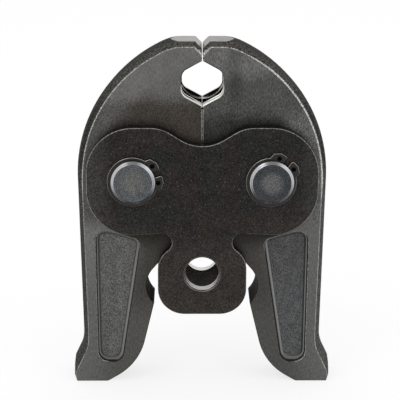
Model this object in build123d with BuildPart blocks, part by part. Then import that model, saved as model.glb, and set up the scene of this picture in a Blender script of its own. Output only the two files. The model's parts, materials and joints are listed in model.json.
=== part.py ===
from build123d import *
from math import asin, atan2, cos, degrees, radians, sin, sqrt, tan
import os

# Press fitting tool jaw, millimetres. X runs across the jaw, Y through its thickness with the
# viewer on the -Y side, Z upwards. The origin is the middle of the tool pin's bore, and the jaw
# stands closed on its two feet.

# Pivots and the tool's own pin
pin_spacing = 56.6
pin_height = 40.0
pin_diameter = 18.0
pin_clearance = 0.04
pin_stand_out = 3.8
pin_chamfer = 1.1
tool_pin_bore = 14.2
bore_chamfer = 0.6

# Stack through the thickness
arm_thickness = 19.4
arm_side_clearance = 0.1
plate_thickness = 5.5

# Side plate outline, measured from the tool pin's axis
plate_half_width = 47.5
plate_top = 62.2
valley_floor = 54.7
valley_radius = 16.7
valley_share = 0.3
shoulder_x = 16.9
shoulder_radius = 15.0
lobe_top_radius = 19.3
lobe_bottom_radius = 18.9
lobe_bottom = 15.7
waist_half_width = 12.5
waist_top = 17.9
waist_bottom = 11.5
waist_straight = 0.24
lug_half_width = 18.4
lug_shoulder = 6.7
lug_shoulder_radius = 10.0
lug_bottom = -17.7
lug_corner_radius = 11.1
plate_edge_break = 0.25

# Jaw arm: forged outline on the outside, at the parting plane in the middle of the thickness
seam_gap = 0.14
tip_gap = 0.4
crown_centre_x = -10.0
crown_centre_z = 38.9
crown_radius = 61.9
crown_top_radius = 20.0
forged_top = 96.8
forged_facet = 1.9
milled_top = 96.1
milled_facet = 2.7
foot_z = -50.0
flank_x = 50.4
flare_z = -33.5
flare_radius = 14.0
foot_blank_x = 56.0
foot_shoulder_z = -45.3
foot_shoulder_radius = 3.0
foot_x = 54.2
foot_corner_width = 1.1
foot_corner_height = 2.7
draft_angle = 5.5
bevel_inset = 1.7
bevel_depth = 3.5
blank_margin = 3.0

# Jaw arm: machined outline on the inside
opening_angle = 11.5
relief_extra_angle = 0.5
track_top = 17.6
track_top_x = 6.0
track_nose_radius = 0.8
notch_x = 12.0
notch_z = -7.0
notch_radius = 11.3
notch_upper_angle = 45.0
notch_lower_angle = -44.0
heel_x = 26.7
heel_z = -42.2
heel_radius = 25.0
toe_x = 39.8
arm_edge_break = 0.3

# Press opening: hexagonal lands with a round bead chamber between them
press_height = 79.5
press_width = 16.8
press_corner_rise = 9.2
press_side_rise = 4.6
press_corner_radius = 3.8
bead_radius = 10.3
bead_front = -5.1
bead_rear = 3.5
guide_radius = 9.25
guide_rear = 8.1
press_edge_break = 0.45

# Recess in each face of the legs
recess_depth = 3.0
recess_draft = 24.0
recess_floor_radius = 1.1
recess_edge_radius = 0.4
recess_outer_rim = 7.3
recess_foot_rim = 8.6
recess_top = 16.8
recess_slope_x = 38.8
recess_inner_x = 25.4
recess_inner_top = 13.0
recess_toe_x = 33.7
recess_lean = 0.5
recess_toe_radius = 4.8
recess_corner_radius = 4.2
recess_inner_radius = 3.4
recess_slope_radius = 8.4

# Closing spring between the arms
spring_height = 26.0
spring_diameter = 8.0
spring_wire = 1.4
spring_length = 21.4
spring_turns = 5.5
spring_side_clearance = 0.4
spring_end_clearance = 0.1

# Retaining rings in the pins' grooves
ring_thickness = 1.2
ring_groove_depth = 0.5
ring_side_clearance = 0.05
ring_bore_clearance = 0.05
ring_outer_radius = 10.3
ring_eccentricity = 0.3
ring_gap = 2.6
ring_lug_reach = 12.1
ring_lug_slant = 0.4
ring_lug_crown = 3.1
ring_lug_shoulder = 9.8
ring_lug_root = 6.8
ring_lug_half_width = 6.7
ring_lug_fillet = 0.8
ring_hole_diameter = 2.0
ring_hole_circle_radius = 10.3
ring_hole_angle = 21.0
ring_edge_break = 0.15
ring_gap_angles = {
    "left_front": 19.0,
    "left_rear": 118.0,
    "right_front": 52.0,
    "right_rear": 155.0,
}

# How far cutting shapes run past the metal they cut, and how near a measured place counts as met
cut_overshoot = 1.0
match_tolerance = 0.001

# Sizes worked out from those above
pin_x = pin_spacing / 2
half_seam = seam_gap / 2
half_arm = arm_thickness / 2
plate_inner_y = half_arm + arm_side_clearance
plate_outer_y = plate_inner_y + plate_thickness
pin_end_y = plate_outer_y + pin_stand_out
pivot_bore_radius = pin_diameter / 2 + pin_clearance
groove_radius = pin_diameter / 2 - ring_groove_depth
groove_width = ring_thickness + 2 * ring_side_clearance
underside_angle = atan2(waist_top - lobe_bottom, plate_half_width - waist_half_width)
lug_slope_angle = atan2(waist_bottom - lug_shoulder, lug_half_width - waist_half_width)
waist_turns = tan((radians(90) + underside_angle) / 2) + tan((radians(90) - lug_slope_angle) / 2)
waist_radius = (waist_top - waist_bottom - waist_straight) / waist_turns
side_x = crown_centre_x + crown_radius
crown_angle = degrees(asin((forged_top - crown_centre_z) / crown_radius))
blank_side = half_seam - blank_margin
blank_bottom = foot_z - blank_margin
relief_angle = opening_angle + relief_extra_angle
relief_top = pin_height - (pin_x - half_seam) * tan(radians(opening_angle / 2))
relief_x = half_seam + (relief_top - track_top) * tan(radians(relief_angle))
recess_outer_x = side_x - recess_outer_rim

os.makedirs("parts", exist_ok=True)


def side_plate_outline():
    """Corners of the plate's right half from the top, each with the radius that rounds it."""
    valley_slope = (plate_top - valley_floor) / (shoulder_x - valley_radius * valley_share)
    valley_corner = valley_floor - valley_radius * (sqrt(1 + valley_slope**2) - 1)
    return [
        (0, valley_corner, valley_radius),
        (shoulder_x, plate_top, shoulder_radius),
        (plate_half_width, plate_top, lobe_top_radius),
        (plate_half_width, lobe_bottom, lobe_bottom_radius),
        (waist_half_width, waist_top, waist_radius),
        (waist_half_width, waist_bottom, waist_radius),
        (lug_half_width, lug_shoulder, lug_shoulder_radius),
        (lug_half_width, lug_bottom, lug_corner_radius),
    ]


# Front side plate, with its bores and a broken edge all round
right_half = side_plate_outline()
left_half = [(-x, z, radius) for x, z, radius in reversed(right_half[1:])]
plate_corners = right_half + left_half
with BuildPart() as front_side_plate:
    with BuildSketch(Plane.XZ.offset(plate_inner_y)):
        with BuildLine():
            FilletPolyline(
                *[(x, z) for x, z, radius in plate_corners],
                radius=[radius for x, z, radius in plate_corners],
                close=True,
            )
        make_face()
        Circle(tool_pin_bore / 2, mode=Mode.SUBTRACT)
        with Locations((-pin_x, pin_height), (pin_x, pin_height)):
            Circle(pivot_bore_radius, mode=Mode.SUBTRACT)
    extrude(amount=plate_thickness)
    outer_face = front_side_plate.faces().sort_by(Axis.Y)[0]
    inner_face = front_side_plate.faces().sort_by(Axis.Y)[-1]
    chamfer(outer_face.outer_wire().edges() + inner_face.outer_wire().edges(), plate_edge_break)
    bore_rims = front_side_plate.edges().filter_by(GeomType.CIRCLE).filter_by(
        lambda edge: abs(edge.radius - tool_pin_bore / 2) < match_tolerance
        and abs(edge.arc_center.Z) < match_tolerance
    )
    chamfer(bore_rims, bore_chamfer)
front_side_plate.part.label = "front_side_plate"
export_step(front_side_plate.part, "parts/front_side_plate.step")

# Rear side plate, the front one turned over
with BuildPart() as rear_side_plate:
    mirror(front_side_plate.part, about=Plane.XZ)
rear_side_plate.part.label = "rear_side_plate"
export_step(rear_side_plate.part, "parts/rear_side_plate.step")

# Right jaw arm: forging with draft to both sides of its parting plane and bevelled faces, cut off
# at the seam and at the foot
with BuildPart() as right_jaw_arm:
    with BuildSketch(Plane.XZ) as forging:
        with BuildLine():
            crown = CenterArc((crown_centre_x, crown_centre_z), crown_radius, 0, crown_angle)
            Polyline(
                crown @ 1,
                (half_seam + forged_facet, forged_top),
                (blank_side, forged_top - forged_facet - blank_margin),
                (blank_side, blank_bottom),
                (foot_blank_x, blank_bottom),
            )
            FilletPolyline(
                (foot_blank_x, blank_bottom),
                (foot_blank_x, foot_shoulder_z),
                (flank_x, flare_z),
                crown @ 0,
                radius=[foot_shoulder_radius, flare_radius],
            )
        make_face()
        fillet(forging.vertices().sort_by_distance(crown @ 1)[0], crown_top_radius)
    extrude(amount=half_arm, both=True, taper=draft_angle)
    for end in (0, -1):
        arm_face = right_jaw_arm.faces().sort_by(Axis.Y)[end]
        chamfer(arm_face.edges(), length=bevel_inset, length2=bevel_depth, reference=arm_face)
    split(bisect_by=Plane.YZ.offset(half_seam), keep=Keep.TOP)
    split(bisect_by=Plane.XY.offset(foot_z), keep=Keep.TOP)

    # Foot milled flat on its outer side, down to a steep corner
    with BuildSketch(Plane.XZ):
        with BuildLine():
            Polyline(
                (foot_x, flare_z),
                (foot_x, foot_z + foot_corner_height),
                (foot_x - foot_corner_width, foot_z),
                (foot_blank_x, foot_z),
                (foot_blank_x, flare_z),
                close=True,
            )
        make_face()
    extrude(amount=half_arm, both=True, mode=Mode.SUBTRACT)

    # Tip milled flat on top, with a milled facet at the seam and a little clearance below it
    with BuildSketch(Plane.XZ):
        with BuildLine():
            Polyline(
                (-cut_overshoot, press_height),
                (tip_gap / 2, press_height),
                (tip_gap / 2, milled_top - milled_facet),
                (tip_gap / 2 + milled_facet, milled_top),
                (foot_x, milled_top),
                (foot_x, forged_top + cut_overshoot),
                (-cut_overshoot, forged_top + cut_overshoot),
                close=True,
            )
        make_face()
    extrude(amount=half_arm, both=True, mode=Mode.SUBTRACT)

    # Inside outline: opening relief, roller track, roller notch, leg and foot
    with BuildSketch(Plane.XZ):
        with BuildLine():
            notch = CenterArc(
                (notch_x, notch_z), notch_radius, notch_lower_angle, notch_upper_angle - notch_lower_angle
            )
            FilletPolyline(
                notch @ 1,
                (track_top_x, track_top),
                (relief_x, track_top),
                (half_seam, relief_top),
                radius=[track_nose_radius, track_nose_radius],
            )
            Polyline(
                (half_seam, relief_top),
                (-cut_overshoot, relief_top),
                (-cut_overshoot, foot_z - cut_overshoot),
                (toe_x, foot_z - cut_overshoot),
                (toe_x, foot_z),
            )
            FilletPolyline((toe_x, foot_z), (heel_x, heel_z), notch @ 0, radius=heel_radius)
        make_face()
    extrude(amount=half_arm, both=True, mode=Mode.SUBTRACT)

    # Pivot bore
    with BuildSketch(Plane.XZ):
        with Locations((pin_x, pin_height)):
            Circle(pivot_bore_radius)
    extrude(amount=half_arm, both=True, mode=Mode.SUBTRACT)

    # Press opening
    with BuildSketch(Plane.XZ) as press_hexagon:
        with Locations((0, press_height)):
            Polygon(
                (0, press_corner_rise),
                (-press_width / 2, press_side_rise),
                (-press_width / 2, -press_side_rise),
                (0, -press_corner_rise),
                (press_width / 2, -press_side_rise),
                (press_width / 2, press_side_rise),
            )
        side_corners = press_hexagon.vertices().group_by(Axis.Y)[1:-1]
        fillet(side_corners, press_corner_radius)
    extrude(amount=half_arm, both=True, mode=Mode.SUBTRACT)
    with BuildSketch(Plane.XZ.offset(-bead_front)):
        with Locations((0, press_height)):
            Circle(bead_radius)
    extrude(amount=-(bead_rear - bead_front), mode=Mode.SUBTRACT)
    with BuildSketch(Plane.XZ.offset(-bead_rear)):
        with Locations((0, press_height)):
            Circle(guide_radius)
    extrude(amount=-(guide_rear - bead_rear), mode=Mode.SUBTRACT)

    # Blind pocket for the closing spring
    with BuildSketch(Plane.YZ):
        with Locations((0, spring_height)):
            Circle(spring_diameter / 2 + spring_side_clearance)
    extrude(amount=spring_length / 2 + spring_end_clearance, mode=Mode.SUBTRACT)

    # Broken edges: wider round the press opening and the seam, fine along the inside outline
    for end in (0, -1):
        arm_face = right_jaw_arm.faces().sort_by(Axis.Y)[end]
        press_edges = arm_face.outer_wire().edges().filter_by(
            lambda edge: edge.center().X < press_width
            and relief_top < edge.center().Z < milled_top - milled_facet - press_edge_break
        )
        chamfer(press_edges, press_edge_break)
        arm_face = right_jaw_arm.faces().sort_by(Axis.Y)[end]
        inside_edges = arm_face.outer_wire().edges().filter_by(
            lambda edge: edge.center().X < toe_x
            and foot_z + match_tolerance < edge.center().Z < relief_top
        )
        chamfer(inside_edges, arm_edge_break)

    # Recess in both faces of the leg, with drafted walls and a rounded floor
    for recess_plane in (Plane.XZ.offset(half_arm), Plane.XZ.offset(-half_arm)):
        inwards = -1 if recess_plane.origin.Y < 0 else 1
        with BuildSketch(recess_plane):
            with BuildLine():
                FilletPolyline(
                    (recess_outer_x, recess_top),
                    (recess_outer_x - recess_lean, foot_z + recess_foot_rim),
                    (recess_toe_x, foot_z + recess_foot_rim),
                    (recess_inner_x, recess_inner_top),
                    (recess_slope_x, recess_top),
                    radius=[
                        recess_corner_radius,
                        recess_toe_radius,
                        recess_toe_radius,
                        recess_inner_radius,
                        recess_slope_radius,
                    ],
                    close=True,
                )
            make_face()
        extrude(amount=inwards * recess_depth, taper=recess_draft, mode=Mode.SUBTRACT)
        recess_floor = right_jaw_arm.faces().filter_by(Axis.Y).filter_by(
            lambda face: abs(abs(face.center().Y) - (half_arm - recess_depth)) < match_tolerance
            and face.center().Y * recess_plane.origin.Y > 0
        )
        fillet(recess_floor.edges(), recess_floor_radius)
        arm_face = right_jaw_arm.faces().sort_by(Axis.Y)[0 if inwards < 0 else -1]
        fillet(arm_face.inner_wires().sort_by(Axis.Z)[0].edges(), recess_edge_radius)
right_jaw_arm.part.label = "right_jaw_arm"
export_step(right_jaw_arm.part, "parts/right_jaw_arm.step")

# Left jaw arm, the right one's mirror image
with BuildPart() as left_jaw_arm:
    mirror(right_jaw_arm.part, about=Plane.YZ)
left_jaw_arm.part.label = "left_jaw_arm"
export_step(left_jaw_arm.part, "parts/left_jaw_arm.step")


def pivot_pin(pin_axis_x):
    """Turned pin with chamfered ends and a groove for a ring outside each plate."""
    with BuildPart() as pin:
        with BuildSketch(Plane.XZ.offset(-pin_end_y)):
            with Locations((pin_axis_x, pin_height)):
                Circle(pin_diameter / 2)
        extrude(amount=2 * pin_end_y)
        chamfer(pin.edges().filter_by(GeomType.CIRCLE), pin_chamfer)
        for groove_y in (-plate_outer_y - groove_width, plate_outer_y):
            with BuildSketch(Plane.XZ.offset(-groove_y)):
                with Locations((pin_axis_x, pin_height)):
                    Circle(pin_diameter / 2 + cut_overshoot)
                    Circle(groove_radius, mode=Mode.SUBTRACT)
            extrude(amount=-groove_width, mode=Mode.SUBTRACT)
    return pin.part


# Pivot pins
for side, side_name in ((-1, "left"), (1, "right")):
    pin_part = pivot_pin(side * pin_x)
    pin_part.label = side_name + "_pivot_pin"
    export_step(pin_part, "parts/" + pin_part.label + ".step")


def retaining_ring(pin_axis_x, end, gap_angle):
    """Spring ring in a pin's groove, its gap turned to gap_angle above +X as seen from the front."""
    ring_y = end * (plate_outer_y + ring_side_clearance)
    gap_direction = (cos(radians(gap_angle)), 0, sin(radians(gap_angle)))
    ring_plane = Plane(origin=(pin_axis_x, ring_y, pin_height), x_dir=gap_direction, z_dir=(0, -1, 0))
    with BuildPart() as ring:
        with BuildSketch(ring_plane):
            with Locations((-ring_eccentricity, 0)):
                Circle(ring_outer_radius)
            for lug_side in (-1, 1):
                with BuildLine():
                    FilletPolyline(
                        (ring_lug_root, lug_side * ring_gap / 2),
                        (ring_lug_reach, lug_side * ring_gap / 2),
                        (ring_lug_reach - ring_lug_slant, lug_side * (ring_gap / 2 + ring_lug_crown)),
                        (ring_lug_shoulder, lug_side * ring_lug_half_width),
                        (ring_lug_root, lug_side * ring_lug_half_width),
                        radius=[0, ring_lug_fillet, ring_lug_fillet, ring_lug_fillet, 0],
                        close=True,
                    )
                make_face()
            Circle(groove_radius + ring_bore_clearance, mode=Mode.SUBTRACT)
            with Locations((ring_outer_radius, 0)):
                Rectangle(ring_outer_radius, ring_gap, mode=Mode.SUBTRACT)
            with PolarLocations(ring_hole_circle_radius, 2, -ring_hole_angle, 2 * ring_hole_angle, endpoint=True):
                Circle(ring_hole_diameter / 2, mode=Mode.SUBTRACT)
        extrude(amount=-end * ring_thickness)
        chamfer(ring.faces().sort_by(Axis.Y)[0 if end < 0 else -1].outer_wire().edges(), ring_edge_break)
    return ring.part


# Retaining rings
for side, side_name in ((-1, "left"), (1, "right")):
    for end, end_name in ((-1, "front"), (1, "rear")):
        ring_name = side_name + "_" + end_name
        ring_part = retaining_ring(side * pin_x, end, ring_gap_angles[ring_name])
        ring_part.label = ring_name + "_retaining_ring"
        export_step(ring_part, "parts/" + ring_part.label + ".step")

# Closing spring, its end turns ground flat
with BuildPart() as closing_spring:
    with BuildLine():
        coil = Helix(
            pitch=spring_length / spring_turns,
            height=spring_length,
            radius=(spring_diameter - spring_wire) / 2,
            center=(-spring_length / 2, 0, spring_height),
            direction=(1, 0, 0),
        )
    with BuildSketch(Plane(origin=coil @ 0, z_dir=coil % 0)):
        Circle(spring_wire / 2)
    sweep(path=coil, is_frenet=True)
    for end in (-1, 1):
        split(bisect_by=Plane(origin=(end * spring_length / 2, 0, 0), z_dir=(-end, 0, 0)), keep=Keep.TOP)
closing_spring.part.label = "closing_spring"
export_step(closing_spring.part, "parts/closing_spring.step")
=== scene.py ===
import json
import math

import bmesh
import bpy
from mathutils import Matrix, Vector


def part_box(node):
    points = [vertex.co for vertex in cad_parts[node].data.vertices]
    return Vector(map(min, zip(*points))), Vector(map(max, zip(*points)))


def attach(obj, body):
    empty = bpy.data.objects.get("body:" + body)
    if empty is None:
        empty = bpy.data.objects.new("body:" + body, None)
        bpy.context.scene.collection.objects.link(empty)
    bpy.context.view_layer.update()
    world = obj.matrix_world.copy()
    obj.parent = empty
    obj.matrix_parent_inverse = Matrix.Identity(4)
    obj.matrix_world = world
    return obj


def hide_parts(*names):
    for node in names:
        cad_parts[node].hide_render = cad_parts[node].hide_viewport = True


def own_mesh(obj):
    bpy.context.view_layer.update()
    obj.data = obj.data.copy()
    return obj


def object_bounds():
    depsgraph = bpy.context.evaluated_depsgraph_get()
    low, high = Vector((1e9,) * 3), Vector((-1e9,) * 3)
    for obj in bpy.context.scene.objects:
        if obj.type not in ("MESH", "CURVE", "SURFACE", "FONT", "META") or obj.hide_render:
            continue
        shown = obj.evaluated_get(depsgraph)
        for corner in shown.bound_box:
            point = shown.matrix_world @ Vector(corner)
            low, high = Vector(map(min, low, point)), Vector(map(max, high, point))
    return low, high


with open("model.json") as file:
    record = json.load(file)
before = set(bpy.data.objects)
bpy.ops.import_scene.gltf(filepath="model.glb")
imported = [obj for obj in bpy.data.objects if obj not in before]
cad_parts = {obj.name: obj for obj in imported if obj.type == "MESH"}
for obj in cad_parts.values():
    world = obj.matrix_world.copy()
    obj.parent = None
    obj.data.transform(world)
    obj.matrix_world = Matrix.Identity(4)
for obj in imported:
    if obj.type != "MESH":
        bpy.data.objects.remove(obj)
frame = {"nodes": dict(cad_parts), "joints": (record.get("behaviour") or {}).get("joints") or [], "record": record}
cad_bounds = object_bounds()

# Places on the jaw, in millimetres like the shader coordinates below
MM = 1000.0
JOINTS = {joint["name"]: joint for joint in frame["joints"]}
MOUNTS = {mount["name"]: mount for mount in frame["record"]["mounts"]}
PIN_X = JOINTS["right_arm_pivot"]["pos_m"][0] * MM
PIN_Z = JOINTS["right_arm_pivot"]["pos_m"][2] * MM
ARM_LOW, ARM_HIGH = (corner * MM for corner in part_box("right_jaw_arm"))
ARM_HALF = -ARM_LOW.y
MILLED_TOP = ARM_HIGH.z
PRESS_Z = MOUNTS["press_profile"]["pos_m"][2] * MM
TOOL_BORE_RADIUS = MOUNTS["tool_pin_bore"]["dims"]["r_mm"]
BEAD_RADIUS = 10.3
BEAD_FRONT = -5.1
CROWN_X = -10.0
CROWN_Z = 38.9
NOTCH_X = 12.0
NOTCH_Z = -7.0
NOTCH_RADIUS = 11.3
RECESS_TOP = 16.8
RECESS_DEPTH = 3.0

# Plier holes of the retaining rings, and for each ring its pin's X, its side along Y and its gap's angle
RING_HOLE_DISTANCE = 10.3
RING_HOLE_ANGLE = 21.0
RING_HOLE_EDGE = (1.25, 0.95)
RING_GAPS = ((-PIN_X, -1, 19.0), (-PIN_X, 1, 118.0), (PIN_X, -1, 52.0), (PIN_X, 1, 155.0))

# Places along X, Y and Z between which one tone of a plate gives way to the next
LUG_BELOW = (22.0, 4.0)
LOWER_EDGE_BELOW = (27.0, 17.0)
LOWER_EDGE_FROM = (16.0, 24.0)
RIGHT_END_FROM = (38.0, 47.0)
LEFT_END_FROM = (-35.0, -46.0)
PLATE_OUTER_FACE = (14.0, 15.0)

# Distances from the tool pin's axis where its bore's rim ends, its chamfer begins and its wall ends
BORE_RIM_UP_TO = (9.0, 8.8)
BORE_CHAMFER_FROM = (7.5, 7.6)
BORE_UP_TO = (TOOL_BORE_RADIUS + 0.08, TOOL_BORE_RADIUS + 0.04)

# Nearly all values of a noise lie between these two
NOISE_LOW = 0.3
NOISE_HIGH = 0.7

# Values of a noise between which a plate turns brown or holds a speck of dust
BROWN_PATCH = (0.4, 0.62)
DUST_SPECK = (0.72, 0.82)

# Heights above the tool pin between which one tone of an arm gives way to the next
UPPER_TO_MIDDLE = (86.0, 78.0)
CLEAN_TO_GRITTY = (80.0, 72.0)
MIDDLE_TO_STAIN_AND_SHADE = (77.5, 69.0)
STAIN_AND_SHADE_TO_PLATE = (70.0, 62.0)
FACE_TO_LEG = (24.0, 16.0)
LEG_TO_FOOT = (-6.0, -26.0)
LEG_FADE = (12.0, -16.0)
BELOW_PLATE = (6.0, 16.0)
RECESS_TOP_TO_LOW = (12.0, -14.0)
RIM_TOP_TO_LEG = (70.0, 40.0)
RIM_DIP_UPPER_END = (80.0, 66.0)
RIM_DIP_LOWER_END = (34.0, 50.0)
TIP_FROM = (92.0, 92.4)
TIP_FLAT_FROM = (MILLED_TOP - 0.1, MILLED_TOP - 0.05)
SHADOW_FROM = (62.0, 78.0)
BRIGHT_CHAMFER_BELOW = (79.5, 77.5)
WORN_FROM = (28.0, 40.0)
WORN_UP_TO = (92.0, 84.0)
WORN_DULL_TO_BRIGHT = (20.0, 40.0)
UNWORN_LEG_BELOW = (14.0, 6.0)
RECESS_UP_TO = (RECESS_TOP + 1.2, RECESS_TOP + 1.0)

# Distances from the centre of the crown's arc between which the outside of an arm begins
OUTSIDE_FROM = (50.0, 59.0)

# Distances to either side of the middle between which one tone of an arm gives way to the next
LEG_OUTSIDE_FROM = (22.0, 40.0)
NECK_UP_TO = (38.0, 28.0)
RECESS_FROM = (22.0, 23.0)
RECESS_WIDE_UP_TO = (46.2, 45.8)
UNWORN_LEG_UP_TO = (42.0, 38.0)
SEAM_GREY_UP_TO = (5.0, 1.5)
SEAM_MILLED_UP_TO = (3.2, 3.0)
SEAM_WORN_UP_TO = (2.0, 1.0)

# Shadow beside the press opening: its middle, the distances from there where it ends and is full, its shade
SHADOW_X = 13.0
SHADOW_REACH = (5.0, 0.0)
SHADOW_SHADE = 0.55

# Depths below an arm's faces between which a zone begins or ends
SUNK_FROM = (0.08, 0.14)
SUNK_UP_TO = (RECESS_DEPTH + 0.3, RECESS_DEPTH + 0.2)
RECESS_WALL_UP_TO = (RECESS_DEPTH - 0.04, RECESS_DEPTH - 0.14)
RECESS_EDGE_UP_TO = (1.6, 1.3)
STEP_FROM = (0.6, 0.8)
CHAMFER_UP_TO = (1.0, 0.8)

# Distance behind the middle plane from which the roller notch is lighter
NOTCH_REAR_FROM = (7.0, 8.0)

# Half the width of a soft border on the recess wall, and of a sharper one along the worn line
SOFT_BORDER = 0.15
WORN_BORDER = 0.06

# How far the clouds move the borders between the tones of an arm, in millimetres
DRIFT = 8.0

# How much of the middle tone the outside of an arm keeps at the height of the stain and painted shade
OUTSIDE_UNSTAINED_UNSHADED = 0.6

# Brightness of the rim's drafted side beside that of its bevel: painted shade where that side faces up
DRAFTED_SHADE = 0.72

# How much broader the worn line gets where it is broadest, in millimetres
BROADER = 0.6

# How much the fine specks add to the relief of the forging's pits
SPECK_SHARE = 0.12

# Roughness of the forged rim and of bare metal, and how much the rim brightens at a shallow angle
RIM_ROUGHNESS = 0.6
BARE_ROUGHNESS = 0.32
RIM_GLANCE = 0.5

# Parts of the normal along X, Y or Z between which a flat face, a bevel or a wall begins or ends
FLAT_FACE = (0.93, 0.98)
STEEP_SIDE = (0.3, 0.18)
FACING_UP = (0.0, 0.8)
RECESS_WALL = (0.2, 0.3)
NOTCH_WALL = (0.5, 0.4)
PRESS_WALL = (0.95, 0.9)
BORE_WALL = (0.8, 0.7)
BEVEL = (0.34, 0.38)
BEVEL_END = (0.9, 0.85)
WALL_TOP = (0.2, 0.7)
WALL_SIDE = (0.1, 0.5)
WALL_LIT = (-0.5, 0.5)
LEVEL_ALONG_Y = (0.08, 0.06)
UPWARDS = (0.6, 0.66)
THIN_EDGE = (0.5, 0.6)
THIN_EDGE_END = (0.9, 0.8)
PIN_END = (0.9, 0.97)
GLINT_ACROSS = (0.1, 0.4)
GLINT_UP = (-0.5, 0.1)

# Tones that the two arms share, as linear red, green and blue
NECK_PAINTED_SHADE_TONE = (0.026, 0.024, 0.021)
RECESS_EDGE_TONE = (0.018, 0.018, 0.018)
NOTCH_REAR_TONE = (0.200, 0.195, 0.180)
SEAM_TONE = (0.46, 0.45, 0.43)
# Painted highlight on the lower half of the press opening's chamfer, and painted shade in the bead chamber and on
# the step round the opening
CHAMFER_HIGHLIGHT_TONE = (0.75, 0.73, 0.69)
PAINTED_SHADE_TONE = (0.010, 0.010, 0.009)

# Tones of the plates
PLATE_BLACK = (0.024, 0.0245, 0.0235)
PLATE_BROWN = (0.031, 0.0265, 0.0245)
PLATE_LUG = (0.040, 0.036, 0.032)
PLATE_ENDS = (0.072, 0.071, 0.069)
PLATE_DUST = (0.120, 0.115, 0.110)
PLATE_WORN = (0.27, 0.255, 0.235)
RING_HOLE_GRIME_AND_SHADE = (0.007, 0.007, 0.007)
BORE_TONE = (0.60, 0.59, 0.57)

# Tones of the small parts
PIN_CHAMFER_DARK = (0.17, 0.175, 0.18)
PIN_CHAMFER_HIGHLIGHT = (0.47, 0.48, 0.49)
RING_DARK = (0.028, 0.027, 0.026)
RING_LIGHT = (0.046, 0.044, 0.042)
RING_WORN = (0.36, 0.34, 0.31)
WIRE_DARK = (0.22, 0.22, 0.22)
WIRE_LIGHT = (0.42, 0.41, 0.39)

# Distances from a pin's axis between which its centre tone begins
PIN_CENTRE = (6.0, 2.5)

# How closely the tool marks on a pin's end follow each other, in radians per millimetre
TOOL_MARKS = 7.0

# Points of the coil's mesh nearer than this are one point, in metres, and steeper edges stay sharp
SAME_PLACE = 1e-7
SHARP_ANGLE = math.radians(30.0)


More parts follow.
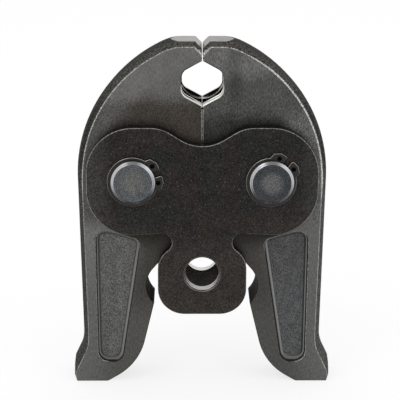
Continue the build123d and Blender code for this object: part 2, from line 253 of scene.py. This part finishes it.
class Shader:
    """A node material whose masks and textures are worked out in the jaw's own millimetres.

    Its facing is 1 on flat faces towards the front and the rear, and 0 on the sides between them.
    """

    def __init__(self, name):
        self.material = bpy.data.materials.new(name)
        self.material.use_nodes = True
        self.nodes = self.material.node_tree.nodes
        self.links = self.material.node_tree.links
        self.surface = self.nodes["Principled BSDF"]
        self.surface.inputs["Specular IOR Level"].default_value = 0.1
        place = self.nodes.new("ShaderNodeTexCoord")
        scaled = self.nodes.new("ShaderNodeVectorMath")
        scaled.operation = "SCALE"
        scaled.inputs["Scale"].default_value = MM
        self.links.new(place.outputs["Object"], scaled.inputs[0])
        self.point = scaled.outputs[0]
        self.x, self.y, self.z = self.split(self.point)
        self.nx, along_y, self.nz = self.split(place.outputs["Normal"])
        self.facing = self.size(along_y)

    def split(self, vector):
        """The three parts of a vector or a colour, each as a number."""
        node = self.nodes.new("ShaderNodeSeparateXYZ")
        self.links.new(vector, node.inputs[0])
        return node.outputs

    def feed(self, socket, value):
        """Link the socket to another node's output, or set it to a number or a colour."""
        if isinstance(value, bpy.types.NodeSocket):
            self.links.new(value, socket)
        elif socket.type == "RGBA":
            colour = value if isinstance(value, tuple) else (value, value, value)
            socket.default_value = (*colour, 1.0)
        else:
            socket.default_value = value

    def math(self, operation, a, b=0.0):
        node = self.nodes.new("ShaderNodeMath")
        node.operation = operation
        for socket, value in zip(node.inputs, (a, b)):
            self.feed(socket, value)
        return node.outputs[0]

    def add(self, a, b):
        return self.math("ADD", a, b)

    def times(self, a, b):
        return self.math("MULTIPLY", a, b)

    def size(self, a):
        return self.math("ABSOLUTE", a)

    def inverse(self, mask):
        return self.math("SUBTRACT", 1.0, mask)

    def ramp(self, value, low, high, to_low=0.0, to_high=1.0):
        """Smooth step from to_low at low to to_high at high; low may be the larger one."""
        node = self.nodes.new("ShaderNodeMapRange")
        node.interpolation_type = "SMOOTHSTEP"
        if low > high:
            low, high, to_low, to_high = high, low, to_high, to_low
        for end, number, result in (("Min", low, to_low), ("Max", high, to_high)):
            node.inputs["From " + end].default_value = number
            node.inputs["To " + end].default_value = result
        self.feed(node.inputs["Value"], value)
        return node.outputs["Result"]

    def length(self, dx, dz):
        """Length of a step in X and Z."""
        return self.math("SQRT", self.add(self.times(dx, dx), self.times(dz, dz)))

    def distance(self, centre_x, centre_z):
        """Distance from an axis along Y, or from the nearer one of two that lie at -X and +X."""
        dx = self.math("SUBTRACT", self.size(self.x), centre_x) if centre_x else self.x
        return self.length(dx, self.math("SUBTRACT", self.z, centre_z))

    def thin_edge(self):
        """Mask of the narrow bevel round a piece of sheet metal."""
        return self.times(self.ramp(self.facing, *THIN_EDGE), self.ramp(self.facing, *THIN_EDGE_END))

    def noise(self, scale, detail=3.0, rough=0.55, stretch=(1.0, 1.0, 1.0), offset=0.0):
        """Noise with about scale features per millimetre, squeezed by stretch along X, Y and Z."""
        mapping = self.nodes.new("ShaderNodeMapping")
        mapping.inputs["Scale"].default_value = stretch
        mapping.inputs["Location"].default_value = (offset, offset * 1.7, offset * 2.3)
        self.links.new(self.point, mapping.inputs["Vector"])
        node = self.nodes.new("ShaderNodeTexNoise")
        node.inputs["Scale"].default_value = scale
        node.inputs["Detail"].default_value = detail
        node.inputs["Roughness"].default_value = rough
        self.links.new(mapping.outputs[0], node.inputs["Vector"])
        return node.outputs["Fac"]

    def mix(self, mask, a, b, data_type="RGBA"):
        """Colour a where mask is 0, b where it is 1."""
        node = self.nodes.new("ShaderNodeMix")
        node.data_type = data_type
        self.feed(node.inputs["Factor"], mask)
        self.feed(node.inputs["A"], a)
        self.feed(node.inputs["B"], b)
        return node.outputs["Result"]

    def blend(self, mask, a, b):
        """Number a where mask is 0, b where it is 1."""
        return self.mix(mask, a, b, data_type="FLOAT")

    def shade(self, colour, factor):
        """Colour with its brightness multiplied by factor."""
        node = self.nodes.new("ShaderNodeVectorMath")
        node.operation = "SCALE"
        if isinstance(colour, tuple):
            node.inputs[0].default_value = colour
        else:
            self.links.new(colour, node.inputs[0])
        self.feed(node.inputs["Scale"], factor)
        return node.outputs[0]

    def grained(self, colour, noise, darkest, lightest, low=NOISE_LOW, high=NOISE_HIGH):
        """Colour made darker where the noise is low and lighter where it is high."""
        return self.shade(colour, self.ramp(noise, low, high, darkest, lightest))

    def bump(self, height, depth_mm):
        """Normal of a surface whose height changes by depth_mm between 0 and 1."""
        node = self.nodes.new("ShaderNodeBump")
        node.inputs["Strength"].default_value = 1.0
        node.inputs["Distance"].default_value = depth_mm / MM
        self.feed(node.inputs["Height"], height)
        return node.outputs[0]

    def finish(self, colour, roughness, metallic, normal, glance=1.0):
        """Set the surface; glance is how much it brightens when seen at a shallow angle."""
        self.feed(self.surface.inputs["Base Color"], colour)
        self.feed(self.surface.inputs["Roughness"], roughness)
        self.feed(self.surface.inputs["Metallic"], metallic)
        self.feed(self.surface.inputs["Specular Tint"], glance)
        self.links.new(normal, self.surface.inputs["Normal"])
        return self.material


def dress(node_name, material):
    """Give a piece its one material."""
    mesh = frame["nodes"][node_name].data
    mesh.materials.clear()
    mesh.materials.append(material)


class ArmShader(Shader):
    """The phosphated forging, with the textures and masks that its zones share."""

    def __init__(self, name, look):
        super().__init__(name)
        self.look = look
        self.grain = self.noise(1.5, detail=2.0, rough=0.7, offset=3.0)
        self.sand = self.noise(2.8, detail=1.0, offset=23.0)
        self.speck = self.noise(1.6, detail=1.0, offset=11.0)
        self.streak = self.noise(1.0, detail=4.0, rough=0.7, stretch=(2.4, 1.0, 0.5), offset=7.0)
        self.stroke = self.noise(1.7, detail=1.0, stretch=(1.3, 1.0, 0.4), offset=41.0)
        self.cloud = self.noise(0.07, detail=3.0, offset=20.0)
        self.mottle = self.noise(0.22, detail=4.0, rough=0.6, stretch=(1.3, 1.0, 0.8), offset=15.0)
        self.face = self.ramp(self.facing, *FLAT_FACE)
        self.across = self.size(self.x)
        self.depth = self.math("SUBTRACT", ARM_HALF, self.size(self.y))

    def upper_tone(self):
        """Faces above the plates: lighter at the tip and outside, with stain and painted shade near the plates."""
        look = self.look
        crown_x = self.math("SUBTRACT", self.across, CROWN_X)
        crown_z = self.math("SUBTRACT", self.math("MAXIMUM", self.z, CROWN_Z), CROWN_Z)
        from_crown = self.length(crown_x, crown_z)
        outside = self.ramp(self.add(from_crown, self.times(self.cloud, DRIFT)), *OUTSIDE_FROM)
        height = self.add(self.z, self.times(self.add(self.cloud, -0.5), DRIFT))
        tone = self.mix(self.ramp(height, *UPPER_TO_MIDDLE), look["upper"], look["middle"])
        tone = self.shade(tone, self.blend(outside, 1.0, look["outside"]))
        # Stain and painted shade at the height of the plates, weaker on the outside
        stained_and_shaded = self.mix(self.times(outside, OUTSIDE_UNSTAINED_UNSHADED), look["stain_and_shade"], look["middle"])
        tone = self.mix(self.ramp(height, *MIDDLE_TO_STAIN_AND_SHADE), tone, stained_and_shaded)
        # Just above the plates: stain and painted shade beside them, the flank's tone on the outside
        low = self.mix(outside, look["stain_and_shade_by_plate"], look["flank"])
        tone = self.mix(self.ramp(self.z, *STAIN_AND_SHADE_TO_PLATE), tone, low)
        beside = self.ramp(self.size(self.add(self.across, -SHADOW_X)), *SHADOW_REACH)
        beside = self.times(beside, self.ramp(self.z, *SHADOW_FROM))
        tone = self.shade(tone, self.blend(self.times(beside, look["shadow"]), 1.0, SHADOW_SHADE))
        tone = self.grained(tone, self.mottle, 1.0 - look["mottle"], 1.0 + look["mottle"])
        tone = self.grained(tone, self.stroke, 1.0 - look["stroke"], 1.0 + look["stroke"])
        tone = self.grained(tone, self.streak, 1.0 - look["streak"], 1.0 + look["streak"])
        grit = self.ramp(self.sand, NOISE_LOW, NOISE_HIGH, to_low=0.64, to_high=1.42)
        return self.shade(tone, self.blend(self.ramp(height, *CLEAN_TO_GRITTY), 1.0, grit))

    def leg_tone(self):
        """Faces of the legs: lighter along the outside and at the foot, with painted shade under the plate."""
        look = self.look
        outer_side = self.ramp(self.add(self.across, self.times(self.z, 0.25)), *LEG_OUTSIDE_FROM)
        inner = self.mix(self.ramp(self.z, *LEG_TO_FOOT), look["leg_inner"], look["leg_low"])
        fade = self.ramp(self.z, *LEG_FADE, to_low=1.0, to_high=look["leg_fade"])
        outer = self.shade(look["leg_outer"], fade)
        tone = self.mix(outer_side, inner, outer)
        # Painted shade on the leg's neck under the plate
        shade_under_plate = self.times(self.ramp(self.z, *BELOW_PLATE), self.ramp(self.across, *NECK_UP_TO))
        tone = self.mix(shade_under_plate, tone, NECK_PAINTED_SHADE_TONE)
        return self.grained(tone, self.stroke, darkest=0.8, lightest=1.2)

    def forged_tone(self):
        """Rim: one rough tone over bevel and drafted side, darkest at the height of the stain and painted shade.
        """
        look = self.look
        dip = self.times(self.ramp(self.z, *RIM_DIP_UPPER_END), self.ramp(self.z, *RIM_DIP_LOWER_END))
        plain = self.mix(self.ramp(self.z, *RIM_TOP_TO_LEG), look["rim_top"], look["rim_leg"])
        tone = self.mix(dip, plain, look["rim_dip"])
        # Painted shade on the drafted side where it faces up
        steep = self.ramp(self.facing, *STEEP_SIDE)
        drafted = self.times(steep, self.ramp(self.nz, *FACING_UP))
        tone = self.shade(tone, self.blend(drafted, 1.0, DRAFTED_SHADE))
        return self.grained(tone, self.grain, darkest=0.35, lightest=1.65, low=0.35, high=0.65)

    def recess(self):
        """Recess in the leg, as its mask, its tone and the mask of its wall alone.

        The floor is grainy, and the wall has a painted highlight line between two dark ones.
        """
        look = self.look
        in_leg = self.ramp(self.across, *RECESS_FROM)
        in_leg = self.times(in_leg, self.ramp(self.across, *RECESS_WIDE_UP_TO))
        in_leg = self.times(in_leg, self.ramp(self.z, *RECESS_UP_TO))
        at_depth = self.times(self.ramp(self.depth, *SUNK_FROM), self.ramp(self.depth, *SUNK_UP_TO))
        sunk = self.times(in_leg, at_depth)
        sunk = self.times(sunk, self.ramp(self.facing, *RECESS_WALL))
        on_wall = self.ramp(self.depth, *RECESS_WALL_UP_TO)

        floor_tone = self.mix(self.ramp(self.z, *RECESS_TOP_TO_LOW), look["recess_top"], look["recess_low"])
        floor_tone = self.grained(floor_tone, self.sand, darkest=0.42, lightest=1.66)
        floor_tone = self.grained(floor_tone, self.mottle, darkest=0.9, lightest=1.12)
        tone = self.mix(on_wall, floor_tone, look["wall_foot"])

        outwards = self.times(self.nx, self.math("SIGN", self.x))
        # Painted highlight line on the wall: its tone and reach follow the side the light falls on, dimmer where
        # the wall faces up
        lit = self.ramp(self.add(self.nz, self.times(outwards, 0.8)), *WALL_LIT)
        highlight_tone = self.mix(lit, look["highlight_outer"], look["highlight_inner"])
        highlight_tone = self.shade(highlight_tone, self.ramp(self.nz, *WALL_TOP, to_low=1.0, to_high=0.62))
        line_end = self.math("SUBTRACT", self.depth, self.times(lit, 0.5))
        line_low = look["line_low"]
        in_highlight = self.ramp(line_end, line_low + SOFT_BORDER, line_low - SOFT_BORDER)
        tone = self.mix(in_highlight, tone, highlight_tone)
        shift = self.ramp(outwards, *WALL_SIDE, to_high=look["line_shift"])
        tone = self.mix(self.ramp(self.add(self.depth, shift), *RECESS_EDGE_UP_TO), tone, RECESS_EDGE_TONE)
        return sunk, tone, self.times(sunk, on_wall)

    def notch(self):
        """Roller notch, as its mask and its tone: a dark wall with a lighter strip at the rear."""
        near_axis = self.ramp(self.distance(NOTCH_X, NOTCH_Z), NOTCH_RADIUS + 0.45, NOTCH_RADIUS + 0.3)
        mask = self.times(near_axis, self.ramp(self.facing, *NOTCH_WALL))
        return mask, self.mix(self.ramp(self.y, *NOTCH_REAR_FROM), self.look["notch"], NOTCH_REAR_TONE)

    def milled_tip(self):
        """Bare metal of the milled tip, as its mask and its tone."""
        upwards = self.times(self.ramp(self.nz, *UPWARDS), self.ramp(self.facing, *LEVEL_ALONG_Y))
        tip = self.times(self.ramp(self.z, *TIP_FROM), upwards)
        flat = self.ramp(self.z, *TIP_FLAT_FROM)
        mask = self.times(tip, self.math("MAXIMUM", flat, self.ramp(self.across, *SEAM_MILLED_UP_TO)))
        line = self.noise(1.0, detail=3.0, stretch=(0.3, 0.7, 0.3), offset=5.0)
        return mask, self.grained(self.look["milled"], line, darkest=0.76, lightest=1.24)

    def press_opening(self):
        """Press opening, as its mask, its tone and the masks of the bead chamber and the step round it.

        The front land changes across its depth from its front tone to a painted highlight, with a painted
        highlight on the chamfer along its lower half and a grey stretch by the seam. The bead chamber gets
        painted shade. The guide behind the bead chamber has one tone.
        """
        look = self.look
        radius = self.distance(0.0, PRESS_Z)
        near_axis = self.ramp(radius, BEAD_RADIUS + 0.4, BEAD_RADIUS + 0.2)
        mask = self.times(near_axis, self.ramp(self.facing, *PRESS_WALL))
        land = self.mix(self.ramp(self.depth, *look["band"]), look["land_front"], look["land_rear_highlight"])
        land = self.mix(self.ramp(self.across, *SEAM_GREY_UP_TO), land, SEAM_TONE)
        chamfer = self.ramp(self.depth, *CHAMFER_UP_TO)
        chamfer = self.times(chamfer, self.ramp(self.z, *BRIGHT_CHAMFER_BELOW))
        land = self.mix(chamfer, land, CHAMFER_HIGHLIGHT_TONE)
        land = self.mix(self.ramp(self.y, BEAD_FRONT - 0.1, BEAD_FRONT + 0.1), land, look["guide"])
        chamber = self.ramp(radius, BEAD_RADIUS - 0.35, BEAD_RADIUS - 0.25)
        # Painted shade in the bead chamber
        land = self.mix(chamber, land, PAINTED_SHADE_TONE)
        step = self.times(self.times(self.face, self.ramp(self.depth, *STEP_FROM)), near_axis)
        return mask, land, chamber, step

    def worn_edges(self, press):
        """Worn line along the faces' edges, as its mask and its tone.

        It is broadest round the shoulder and beside the seam, and leaves out the press opening and
        the leg but for its outer edge.
        """
        look = self.look
        bevel = self.times(self.ramp(self.facing, *BEVEL), self.ramp(self.facing, *BEVEL_END))
        broad = self.times(self.ramp(self.z, *WORN_FROM), self.ramp(self.z, *WORN_UP_TO))
        by_seam = self.ramp(self.across, *SEAM_WORN_UP_TO)
        broad = self.math("MAXIMUM", self.times(broad, look["worn"]), by_seam)
        ragged = self.ramp(self.sand, 0.3, 0.65, to_low=0.1, to_high=0.6)
        reach = self.add(ragged, self.times(broad, BROADER))
        past_reach = self.math("SUBTRACT", self.depth, reach)
        mask = self.times(bevel, self.ramp(past_reach, WORN_BORDER, -WORN_BORDER))
        unworn_leg = self.ramp(self.z, *UNWORN_LEG_BELOW)
        unworn_leg = self.times(unworn_leg, self.ramp(self.across, *UNWORN_LEG_UP_TO))
        mask = self.times(mask, self.inverse(self.math("MAXIMUM", unworn_leg, press)))
        tone = self.grained(look["worn_tone"], self.speck, darkest=0.6, lightest=1.5, low=0.35, high=0.65)
        return mask, self.shade(tone, self.ramp(self.z, *WORN_DULL_TO_BRIGHT, to_low=0.75, to_high=1.0))


def arm_material(name, look):
    """Phosphated forging: brushed faces, rough rim, bare metal at the tip and in the press opening."""
    s = ArmShader(name, look)
    face_tone = s.mix(s.ramp(s.z, *FACE_TO_LEG), s.upper_tone(), s.leg_tone())
    colour = s.mix(s.face, s.forged_tone(), face_tone)
    sunk, recess_tone, wall = s.recess()
    colour = s.mix(sunk, colour, recess_tone)
    notch, notch_tone = s.notch()
    colour = s.mix(notch, colour, notch_tone)
    milled, milled_tone = s.milled_tip()
    colour = s.mix(milled, colour, milled_tone)
    press, land, chamber, step = s.press_opening()
    colour = s.mix(press, colour, land)
    # Painted shade on the step round the press opening
    colour = s.mix(step, colour, PAINTED_SHADE_TONE)
    worn, worn_tone = s.worn_edges(press)
    colour = s.mix(worn, colour, worn_tone)

    bare = s.math("MAXIMUM", milled, s.math("MAXIMUM", s.times(press, s.inverse(chamber)), worn))
    brushed = s.ramp(s.streak, NOISE_LOW, NOISE_HIGH, to_low=0.38, to_high=0.5)
    rough = s.blend(s.face, RIM_ROUGHNESS, brushed)
    rough = s.blend(bare, rough, BARE_ROUGHNESS)
    pit = s.times(s.times(s.grain, s.inverse(s.face)), s.inverse(bare))
    relief = s.add(pit, s.times(s.times(s.speck, s.inverse(bare)), SPECK_SHARE))
    glance = s.blend(s.math("MAXIMUM", s.face, bare), RIM_GLANCE, 1.0)
    land_red = s.split(land)[0]
    glance = s.blend(press, glance, s.ramp(land_red, 0.0, 0.6, to_low=0.1, to_high=1.0))
    return s.finish(colour, rough, s.inverse(wall), s.bump(relief, depth_mm=0.12), glance)


def darken_ring_holes(s, colour):
    """The plate's colour with a dark spot of grime and painted shade under each plier hole of the retaining rings.
    """
    for pin_x, side_y, gap_angle in RING_GAPS:
        outer_face = s.ramp(s.times(s.y, side_y), *PLATE_OUTER_FACE)
        for hole_side in (-1, 1):
            angle = math.radians(gap_angle + hole_side * RING_HOLE_ANGLE)
            dx = s.add(s.x, -pin_x - RING_HOLE_DISTANCE * math.cos(angle))
            dz = s.add(s.z, -PIN_Z - RING_HOLE_DISTANCE * math.sin(angle))
            spot = s.times(s.ramp(s.length(dx, dz), *RING_HOLE_EDGE), outer_face)
            colour = s.mix(spot, colour, RING_HOLE_GRIME_AND_SHADE)
    return colour


def plate_material():
    """Black oxide steel sheet with a fine grain, brown patches and a worn bright edge."""
    s = Shader("plate_steel")
    speck = s.noise(2.4, detail=0.0, offset=2.0)
    dust = s.noise(1.6, detail=0.0, offset=31.0)
    patch = s.noise(0.06, detail=3.0, offset=9.0)
    cloud = s.noise(0.2, detail=5.0, rough=0.6, offset=52.0)
    scratch = s.noise(0.9, detail=4.0, rough=0.75, stretch=(2.5, 1.0, 0.6), offset=4.0)

    # Faces: black to brown, browner on the lug, lighter along the lower edge and towards both ends
    colour = s.mix(s.ramp(patch, *BROWN_PATCH), PLATE_BLACK, PLATE_BROWN)
    colour = s.mix(s.ramp(s.z, *LUG_BELOW), colour, PLATE_LUG)
    lower_edge = s.ramp(s.z, *LOWER_EDGE_BELOW, to_low=1.0, to_high=1.25)
    colour = s.shade(colour, s.blend(s.ramp(s.size(s.x), *LOWER_EDGE_FROM), 1.0, lower_edge))
    right_end = s.ramp(s.x, *RIGHT_END_FROM, to_high=0.3)
    left_end = s.ramp(s.x, *LEFT_END_FROM, to_high=0.5)
    colour = s.mix(s.math("MAXIMUM", right_end, left_end), colour, PLATE_ENDS)
    colour = s.grained(colour, speck, darkest=0.62, lightest=1.44)
    colour = s.grained(colour, cloud, darkest=0.9, lightest=1.12, low=0.35, high=0.65)
    colour = s.grained(colour, scratch, darkest=0.97, lightest=1.8, low=0.5, high=0.8)
    colour = s.mix(s.ramp(dust, *DUST_SPECK, to_high=0.9), colour, PLATE_DUST)
    colour = darken_ring_holes(s, colour)

    # Worn outer edge, the chamfer round the tool pin's bore, and the bore itself
    edge = s.thin_edge()
    radius = s.distance(0.0, 0.0)
    rim = s.times(edge, s.ramp(radius, *BORE_RIM_UP_TO))
    wear = s.times(s.times(edge, s.inverse(rim)), s.ramp(speck, 0.3, 0.6, to_low=0.25))
    wear = s.math("MAXIMUM", wear, s.times(rim, s.ramp(radius, *BORE_CHAMFER_FROM)))
    colour = s.mix(wear, colour, PLATE_WORN)
    bore = s.times(s.ramp(radius, *BORE_UP_TO), s.ramp(s.facing, *BORE_WALL))
    colour = s.mix(bore, colour, BORE_TONE)
    oxide_rough = s.ramp(speck, NOISE_LOW, NOISE_HIGH, to_low=0.42, to_high=0.58)
    rough = s.blend(s.math("MAXIMUM", wear, bore), oxide_rough, 0.35)
    return s.finish(colour, rough, metallic=1.0, normal=s.bump(s.add(speck, scratch), depth_mm=0.03))


def pin_material(name, centre_tone, edge_tone):
    """Turned steel pin: concentric tool marks on the ends, and a chamfer with a painted highlight on its sides and
    top.
    """
    s = Shader(name)
    radius = s.distance(PIN_X, PIN_Z)
    wobble = s.noise(0.5, detail=3.0, offset=1.0)
    rings = s.math("SINE", s.times(s.add(radius, s.times(wobble, 0.3)), TOOL_MARKS))
    fine = s.noise(2.4, detail=1.0, offset=6.0)
    colour = s.mix(s.ramp(radius, *PIN_CENTRE), edge_tone, centre_tone)
    colour = s.grained(colour, fine, darkest=0.62, lightest=1.38)
    colour = s.grained(colour, rings, darkest=0.86, lightest=1.14, low=-1.0, high=1.0)
    end = s.ramp(s.facing, *PIN_END)
    # Painted highlight on the chamfer where it faces to the side and not downward
    glint = s.times(s.ramp(s.size(s.nx), *GLINT_ACROSS), s.ramp(s.nz, *GLINT_UP))
    rim_tone = s.mix(glint, PIN_CHAMFER_DARK, PIN_CHAMFER_HIGHLIGHT)
    colour = s.mix(end, rim_tone, colour)
    return s.finish(colour, s.blend(end, 0.26, 0.42), metallic=1.0, normal=s.bump(rings, depth_mm=0.01))


def ring_material():
    """Black oxide spring steel with worn outer edges."""
    s = Shader("ring_steel")
    speck = s.noise(3.0, detail=2.0, offset=8.0)
    edge = s.thin_edge()
    colour = s.mix(s.ramp(speck, NOISE_LOW, NOISE_HIGH), RING_DARK, RING_LIGHT)
    wear = s.times(edge, s.ramp(speck, 0.3, 0.55, to_low=0.5))
    colour = s.mix(wear, colour, RING_WORN)
    return s.finish(colour, s.blend(wear, 0.45, 0.3), metallic=1.0, normal=s.bump(speck, depth_mm=0.02))


def spring_material():
    """Drawn wire with fine marks along it."""
    s = Shader("spring_steel")
    mark = s.noise(2.4, detail=3.0, offset=12.0)
    colour = s.mix(mark, WIRE_DARK, WIRE_LIGHT)
    rough = s.ramp(mark, NOISE_LOW, NOISE_HIGH, to_low=0.28, to_high=0.4)
    return s.finish(colour, rough, metallic=1.0, normal=s.bump(mark, depth_mm=0.01))


# What differs between the arms: tones, shares of brightness, and millimetres below a face
LEFT_LOOK = {
    "upper": (0.126, 0.124, 0.120),
    "middle": (0.130, 0.127, 0.122),
    "outside": 1.14,
    "stain_and_shade": (0.054, 0.048, 0.042),
    "stain_and_shade_by_plate": (0.052, 0.044, 0.038),
    "flank": (0.092, 0.090, 0.086),
    "shadow": 0.0,
    "mottle": 0.08,
    "streak": 0.08,
    "stroke": 0.16,
    "leg_outer": (0.158, 0.158, 0.151),
    "leg_fade": 0.82,
    "leg_inner": (0.058, 0.054, 0.047),
    "leg_low": (0.092, 0.090, 0.084),
    "rim_top": (0.078, 0.076, 0.070),
    "rim_dip": (0.043, 0.042, 0.038),
    "rim_leg": (0.072, 0.070, 0.065),
    "recess_top": (0.112, 0.112, 0.105),
    "recess_low": (0.112, 0.112, 0.106),
    "line_low": 2.1,
    "line_shift": 0.65,
    "highlight_outer": (0.250, 0.248, 0.238),
    "highlight_inner": (0.240, 0.238, 0.228),
    "wall_foot": (0.062, 0.061, 0.058),
    "notch": (0.004, 0.004, 0.0035),
    "milled": (0.238, 0.230, 0.216),
    "land_front": (0.035, 0.034, 0.032),
    "land_rear_highlight": (0.75, 0.73, 0.69),
    "band": (3.3, 3.7),
    "guide": (0.27, 0.26, 0.24),
    "worn": 0.4,
    "worn_tone": (0.36, 0.355, 0.34),
}
RIGHT_LOOK = {
    "upper": (0.138, 0.137, 0.133),
    "middle": (0.080, 0.080, 0.079),
    "outside": 1.0,
    "stain_and_shade": (0.080, 0.080, 0.078),
    "stain_and_shade_by_plate": (0.037, 0.037, 0.034),
    "flank": (0.122, 0.121, 0.118),
    "shadow": 0.7,
    "mottle": 0.11,
    "streak": 0.12,
    "stroke": 0.3,
    "leg_outer": (0.128, 0.128, 0.127),
    "leg_fade": 0.95,
    "leg_inner": (0.060, 0.056, 0.051),
    "leg_low": (0.080, 0.079, 0.075),
    "rim_top": (0.080, 0.078, 0.072),
    "rim_dip": (0.050, 0.049, 0.046),
    "rim_leg": (0.100, 0.098, 0.093),
    "recess_top": (0.072, 0.072, 0.074),
    "recess_low": (0.084, 0.085, 0.087),
    "line_low": 2.35,
    "line_shift": 0.1,
    "highlight_outer": (0.230, 0.228, 0.223),
    "highlight_inner": (0.250, 0.248, 0.243),
    "wall_foot": (0.034, 0.034, 0.034),
    "notch": (0.068, 0.063, 0.056),
    "milled": (0.186, 0.178, 0.166),
    "land_front": (0.26, 0.25, 0.24),
    "land_rear_highlight": (1.0, 0.97, 0.92),
    "band": (1.8, 2.4),
    "guide": (0.42, 0.40, 0.37),
    "worn": 1.0,
    "worn_tone": (0.46, 0.455, 0.44),
}
dress("left_jaw_arm", arm_material("left_arm_steel", LEFT_LOOK))
dress("right_jaw_arm", arm_material("right_arm_steel", RIGHT_LOOK))
plate_steel = plate_material()
PIN_STEELS = {
    "left": pin_material(
        "left_pin_steel", centre_tone=(0.130, 0.130, 0.127), edge_tone=(0.098, 0.103, 0.109)
    ),
    "right": pin_material(
        "right_pin_steel", centre_tone=(0.118, 0.118, 0.120), edge_tone=(0.051, 0.054, 0.059)
    ),
}
ring_steel = ring_material()
for end in ("front", "rear"):
    dress(end + "_side_plate", plate_steel)
for side in ("left", "right"):
    dress(side + "_pivot_pin", PIN_STEELS[side])
    for end in ("front", "rear"):
        dress(side + "_" + end + "_retaining_ring", ring_steel)
spring_steel = spring_material()
dress("closing_spring", spring_steel)


def spring_half(side_name, side):
    """Half of the closing spring, cut at the middle plane: its arm carries it as that arm swings."""
    coil = bmesh.new()
    coil.from_mesh(frame["nodes"]["closing_spring"].data)
    bmesh.ops.remove_doubles(coil, verts=coil.verts[:], dist=SAME_PLACE)
    everything = coil.verts[:] + coil.edges[:] + coil.faces[:]
    bmesh.ops.bisect_plane(
        coil, geom=everything, plane_co=(0.0, 0.0, 0.0), plane_no=(-side, 0.0, 0.0), clear_outer=True
    )
    bmesh.ops.holes_fill(coil, edges=[edge for edge in coil.edges if edge.is_boundary])
    for edge in coil.edges:
        edge.smooth = edge.calc_face_angle(0.0) < SHARP_ANGLE
    mesh = bpy.data.meshes.new("closing_spring_" + side_name)
    coil.to_mesh(mesh)
    coil.free()
    mesh.materials.append(spring_steel)
    half = bpy.data.objects.new(mesh.name, mesh)
    bpy.context.collection.objects.link(half)
    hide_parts("closing_spring")
    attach(half, side_name + "_arm")
    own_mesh(half)


spring_half("left", -1.0)
spring_half("right", 1.0)


# Floor: seen by the camera and in reflections it is mostly plain white, with a soft trace of shadow
FLOOR_SIZE = 8.0
FLOOR_WHITE = (0.93, 0.93, 0.93, 1.0)
FLOOR_ROUGHNESS = 0.9
PLAIN_WHITE = (1.0, 1.0, 1.0, 1.0)
PLAIN_SHARE = 0.75
floor_z = cad_bounds[0].z
bpy.ops.mesh.primitive_plane_add(size=FLOOR_SIZE, location=(0.0, 0.0, floor_z))
floor = bpy.context.object
floor.name = "floor"
floor_material = bpy.data.materials.new("floor")
floor_material.use_nodes = True
floor_nodes = floor_material.node_tree.nodes
floor_links = floor_material.node_tree.links
floor_surface = floor_nodes["Principled BSDF"]
floor_surface.inputs["Base Color"].default_value = FLOOR_WHITE
floor_surface.inputs["Roughness"].default_value = FLOOR_ROUGHNESS
paper = floor_nodes.new("ShaderNodeEmission")
paper.inputs["Color"].default_value = PLAIN_WHITE
paper.inputs["Strength"].default_value = 1.0
ray = floor_nodes.new("ShaderNodeLightPath")


def either(a, b):
    """The larger of two outputs in the floor's material."""
    node = floor_nodes.new("ShaderNodeMath")
    node.operation = "MAXIMUM"
    floor_links.new(a, node.inputs[0])
    floor_links.new(b, node.inputs[1])
    return node.outputs[0]


seen_in_others = either(ray.outputs["Is Glossy Ray"], ray.outputs["Is Transmission Ray"])
share = floor_nodes.new("ShaderNodeMath")
share.operation = "MULTIPLY"
share.inputs[1].default_value = PLAIN_SHARE
floor_links.new(either(ray.outputs["Is Camera Ray"], seen_in_others), share.inputs[0])
floor_mix = floor_nodes.new("ShaderNodeMixShader")
floor_links.new(share.outputs[0], floor_mix.inputs[0])
floor_links.new(floor_surface.outputs[0], floor_mix.inputs[1])
floor_links.new(paper.outputs[0], floor_mix.inputs[2])
floor_links.new(floor_mix.outputs[0], floor_nodes["Material Output"].inputs["Surface"])
floor.data.materials.append(floor_material)

# World: plain white, for the light, the background and the reflections alike
world = bpy.data.worlds.new("studio")
bpy.context.scene.world = world
world.use_nodes = True
background = world.node_tree.nodes["Background"]
background.inputs["Color"].default_value = PLAIN_WHITE
background.inputs["Strength"].default_value = 1.0

# Lamps: one in front on the left, one on the right and a weak one behind, all turned to the jaw's middle
JAW_MIDDLE = Vector((0.0, 0.0, 0.03))


def softbox(name, place, size, power):
    """Square area lamp at place, in metres and watts."""
    lamp = bpy.data.lights.new(name, "AREA")
    lamp.shape = "SQUARE"
    lamp.size = size
    lamp.energy = power
    holder = bpy.data.objects.new(name, lamp)
    bpy.context.collection.objects.link(holder)
    holder.location = place
    holder.rotation_euler = (JAW_MIDDLE - Vector(place)).to_track_quat("-Z", "Y").to_euler()


softbox("key", place=(-0.45, -0.55, 0.85), size=0.5, power=1.5)
softbox("fill", place=(0.75, -0.50, 0.45), size=0.6, power=0.8)
softbox("back", place=(0.10, 0.80, 0.70), size=0.6, power=0.3)

# Camera: the photograph's angle, worked out from the outline
camera_distance = 0.6513
camera_target = Vector((-0.00081, 0.0, 0.02761))
camera_pitch = math.radians(16.152)
camera_yaw = math.radians(0.509)
camera_roll = math.radians(0.12)
focal_length = 139.62
forward = Vector(
    (
        math.sin(camera_yaw) * math.cos(camera_pitch),
        math.cos(camera_yaw) * math.cos(camera_pitch),
        -math.sin(camera_pitch),
    )
)
level = Vector((math.cos(camera_yaw), -math.sin(camera_yaw), 0.0))
right = level * math.cos(camera_roll) + level.cross(forward) * math.sin(camera_roll)
up = right.cross(forward)
camera_data = bpy.data.cameras.new("camera")
camera_data.lens = focal_length
camera_data.sensor_width = 36.0
camera_data.clip_start = 0.01
camera = bpy.data.objects.new("camera", camera_data)
bpy.context.collection.objects.link(camera)
turn = Matrix((right, up, -forward)).transposed()
camera.matrix_world = Matrix.Translation(camera_target - forward * camera_distance) @ turn.to_4x4()
bpy.context.scene.camera = camera
bpy.context.scene.view_settings.view_transform = "Standard"
